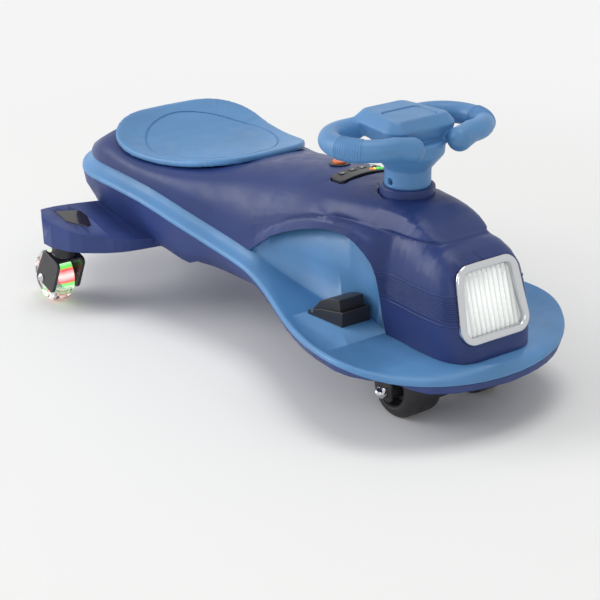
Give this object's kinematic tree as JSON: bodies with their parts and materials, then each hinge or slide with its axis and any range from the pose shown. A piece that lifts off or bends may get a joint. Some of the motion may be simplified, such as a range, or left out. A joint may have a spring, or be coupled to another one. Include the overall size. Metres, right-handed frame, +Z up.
{
  "type": "wiggle car",
  "caption": "Ride-on wiggle car: waisted deck with a dished seat, steering yoke on a column, powered front truck, pedal, headlight and swivel casters on rear wings",
  "frame": {"origin": "middle of the footprint, on the floor", "axes": "+X is forward, +Y is the rider's left, +Z is up"},
  "size_m": [0.7492, 0.4224, 0.318],
  "materials": {
    "navy_plastic": "satin moulded",
    "blue_plastic": "satin moulded",
    "black_plastic": "fine grained moulded",
    "grey_plastic": "plain moulded",
    "white_plastic": "smooth moulded",
    "orange_plastic": "smooth moulded",
    "led_lens": "clear tinted",
    "clear_lens": "clear fluted",
    "smoked_lens": "smoked glossy",
    "clear_tyre": "clear cast",
    "light_ring": "translucent",
    "black_tyre": "smooth cast",
    "chrome": "polished",
    "steel": "zinc plated",
    "lamp": "frosted",
    "battery_wrap": "shrink wrapped"
  },
  "bodies": {
    "car": {"upper_shell": "navy_plastic", "deck": "blue_plastic", "lower_shell": "navy_plastic", "seat": "blue_plastic", "column_collar": "navy_plastic", "upper_bush": "grey_plastic", "lower_bush": "grey_plastic", "control_panel": "black_plastic", "battery_leds": "led_lens", "power_switch": "black_plastic", "headlight_bezel": "chrome", "headlight_lens": "clear_lens", "headlight_reflector": "chrome", "headlight_lamp": "lamp", "tail_light_left": "smoked_lens", "tail_light_right": "smoked_lens", "pedal_housing": "black_plastic", "pedal_pin": "steel", "pedal_spring": "steel", "battery_pack": "battery_wrap", "controller_box": "grey_plastic", "speaker": "black_plastic", "charge_socket": "black_plastic", "caster_bush_left": "grey_plastic", "caster_bush_right": "grey_plastic"},
    "steering": {"steering_wheel": "blue_plastic", "steering_shaft": "steel", "column_screw": "steel", "truck_frame": "black_plastic", "shaft_nut": "steel", "front_axle": "steel", "axle_nuts": "chrome", "gearbox": "black_plastic", "drive_motor": "steel"},
    "horn": {"horn_pad": "blue_plastic"},
    "power": {"power_button": "orange_plastic"},
    "key_a": {"key_1": "white_plastic"},
    "key_b": {"key_2": "white_plastic"},
    "key_c": {"key_3": "white_plastic"},
    "key_d": {"key_4": "white_plastic"},
    "pedal": {"accelerator_pedal": "black_plastic"},
    "front_wheel_left": {"front_tyre_left": "black_tyre", "front_hub_left": "black_plastic", "front_bush_left": "grey_plastic"},
    "front_wheel_right": {"front_tyre_right": "black_tyre", "front_hub_right": "black_plastic", "front_bush_right": "grey_plastic"},
    "caster_left": {"caster_fork_left": "black_plastic", "caster_stem_left": "steel", "caster_axle_left": "steel"},
    "caster_right": {"caster_fork_right": "black_plastic", "caster_stem_right": "steel", "caster_axle_right": "steel"},
    "rear_wheel_left": {"rear_tyre_left": "clear_tyre", "rear_hub_left": "white_plastic", "rear_ring_left": "light_ring"},
    "rear_wheel_right": {"rear_tyre_right": "clear_tyre", "rear_hub_right": "white_plastic", "rear_ring_right": "light_ring"}
  },
  "joints": [
    {"name": "steer", "type": "hinge", "parent": "car", "child": "steering", "pos_m": [0.20003, 0, 0.15], "axis": [0, 0, 1], "range_deg": [-50, 50]},
    {"name": "horn_press", "type": "slide", "parent": "steering", "child": "horn", "axis": [0, 0, -1], "range_m": [0, 0.002], "stiffness_N_per_m": 400, "springref_m": -0.002},
    {"name": "power_press", "type": "slide", "parent": "car", "child": "power", "axis": [0, 0, -1], "range_m": [0, 0.0015], "stiffness_N_per_m": 400, "springref_m": -0.001},
    {"name": "key_a_press", "type": "slide", "parent": "car", "child": "key_a", "axis": [0, 0, -1], "range_m": [0, 0.0008], "stiffness_N_per_m": 400, "springref_m": -0.0005},
    {"name": "key_b_press", "type": "slide", "parent": "car", "child": "key_b", "axis": [0, 0, -1], "range_m": [0, 0.0008], "stiffness_N_per_m": 400, "springref_m": -0.0005},
    {"name": "key_c_press", "type": "slide", "parent": "car", "child": "key_c", "axis": [0, 0, -1], "range_m": [0, 0.0008], "stiffness_N_per_m": 400, "springref_m": -0.0005},
    {"name": "key_d_press", "type": "slide", "parent": "car", "child": "key_d", "axis": [0, 0, -1], "range_m": [0, 0.0008], "stiffness_N_per_m": 400, "springref_m": -0.0005},
    {"name": "pedal_press", "type": "hinge", "parent": "car", "child": "pedal", "pos_m": [0.15898, -0.081, 0.09802], "axis": [0, 1, 0], "range_deg": [0, 8], "stiffness_Nm_per_rad": 1, "springref_deg": -5.73, "deforming": ["pedal_spring"]},
    {"name": "front_spin_left", "type": "hinge", "parent": "steering", "child": "front_wheel_left", "pos_m": [0.26803, 0.052, 0.0345], "axis": [0, 1, 0], "continuous": true},
    {"name": "caster_swivel_left", "type": "hinge", "parent": "car", "child": "caster_left", "pos_m": [-0.23797, 0.188, 0.09], "axis": [0, 0, 1], "continuous": true},
    {"name": "rear_spin_left", "type": "hinge", "parent": "caster_left", "child": "rear_wheel_left", "pos_m": [-0.26198, 0.188, 0.033], "axis": [0, 1, 0], "continuous": true},
    {"name": "front_spin_right", "type": "hinge", "parent": "steering", "child": "front_wheel_right", "pos_m": [0.26803, -0.052, 0.0345], "axis": [0, 1, 0], "continuous": true},
    {"name": "caster_swivel_right", "type": "hinge", "parent": "car", "child": "caster_right", "pos_m": [-0.23797, -0.188, 0.09], "axis": [0, 0, 1], "continuous": true},
    {"name": "rear_spin_right", "type": "hinge", "parent": "caster_right", "child": "rear_wheel_right", "pos_m": [-0.26198, -0.188, 0.033], "axis": [0, 1, 0], "continuous": true}
  ]
}
